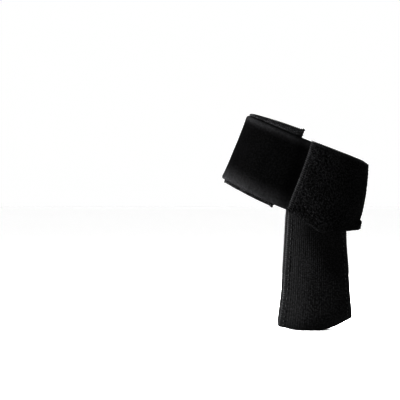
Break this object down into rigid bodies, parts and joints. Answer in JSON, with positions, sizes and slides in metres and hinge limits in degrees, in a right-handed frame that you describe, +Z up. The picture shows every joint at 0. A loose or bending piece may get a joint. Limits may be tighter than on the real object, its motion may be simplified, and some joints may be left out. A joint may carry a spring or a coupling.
{
  "type": "ankle foot orthosis",
  "caption": "Soft ankle brace: padded stirrup strap under the heel sewn to a rear cuff, with a padded front strap and hook tab that close round the ankle.",
  "frame": {"origin": "middle of the flat patch of the stirrup's underside, where the brace stands, below the heel", "axes": "+Z up, -X towards the toes, +X towards the heel, -Y the lateral (outer) side of the ankle, +Y the medial side"},
  "size_m": [0.1116, 0.0916, 0.165],
  "materials": {
    "ribbed_webbing": "near-black elastic webbing with fine lengthwise ribs, matte",
    "loop_fabric": "near-black unbroken loop fabric, fuzzy and matte",
    "nylon_jersey": "near-black nylon jersey over foam, soft sheen",
    "neoprene_foam": "closed-cell foam, matte",
    "brushed_lining": "brushed knit lining, matte",
    "overlock_thread": "twisted polyester thread, slight sheen",
    "hook_tape": "moulded nylon hook tape, matte"
  },
  "bodies": {
    "brace": {"stirrup_strap": "ribbed_webbing", "stirrup_foam": "neoprene_foam", "stirrup_lining": "brushed_lining", "stirrup_front_overlock": "overlock_thread", "stirrup_rear_overlock": "overlock_thread", "rear_cuff_face": "loop_fabric", "rear_cuff_foam": "neoprene_foam", "achilles_foam": "neoprene_foam", "rear_cuff_lining": "brushed_lining", "rear_cuff_top_binding": "overlock_thread", "rear_cuff_bottom_hem": "loop_fabric", "rear_cuff_lateral_binding": "overlock_thread", "rear_cuff_medial_binding": "overlock_thread", "front_strap_anchor": "nylon_jersey"},
    "front_strap": {"front_strap_web": "nylon_jersey", "front_pad_face": "loop_fabric", "front_pad_foam": "neoprene_foam", "front_pad_lining": "brushed_lining", "front_pad_top_overlock": "overlock_thread", "front_pad_bottom_overlock": "overlock_thread", "front_pad_lateral_overlock": "overlock_thread", "front_pad_medial_overlock": "overlock_thread"},
    "closing_strap": {"closing_strap_web": "nylon_jersey"},
    "hook_tab": {"hook_tab_web": "nylon_jersey", "hook_patch": "hook_tape", "hook_tab_end_binding": "overlock_thread"}
  },
  "joints": [
    {"name": "front_strap_open", "type": "hinge", "parent": "brace", "child": "front_strap", "pos_m": [-0.00784, -0.03906, 0.11991], "axis": [0.3131, 0.0625, 0.9477], "range_deg": [0, 100]},
    {"name": "closing_strap_fold", "type": "hinge", "parent": "front_strap", "child": "closing_strap", "pos_m": [-0.04553, 0.03196, 0.13439], "axis": [0.3336, -0.0473, 0.9415], "range_deg": [0, 65]},
    {"name": "hook_tab_peel", "type": "hinge", "parent": "closing_strap", "child": "hook_tab", "pos_m": [0.00103, 0.04428, 0.11651], "axis": [0.3132, -0.0675, 0.9473], "range_deg": [0, 70]}
  ],
  "couplings": [
    {"joint": "closing_strap_fold", "follows": "front_strap_open", "ratio": 0.65}
  ]
}
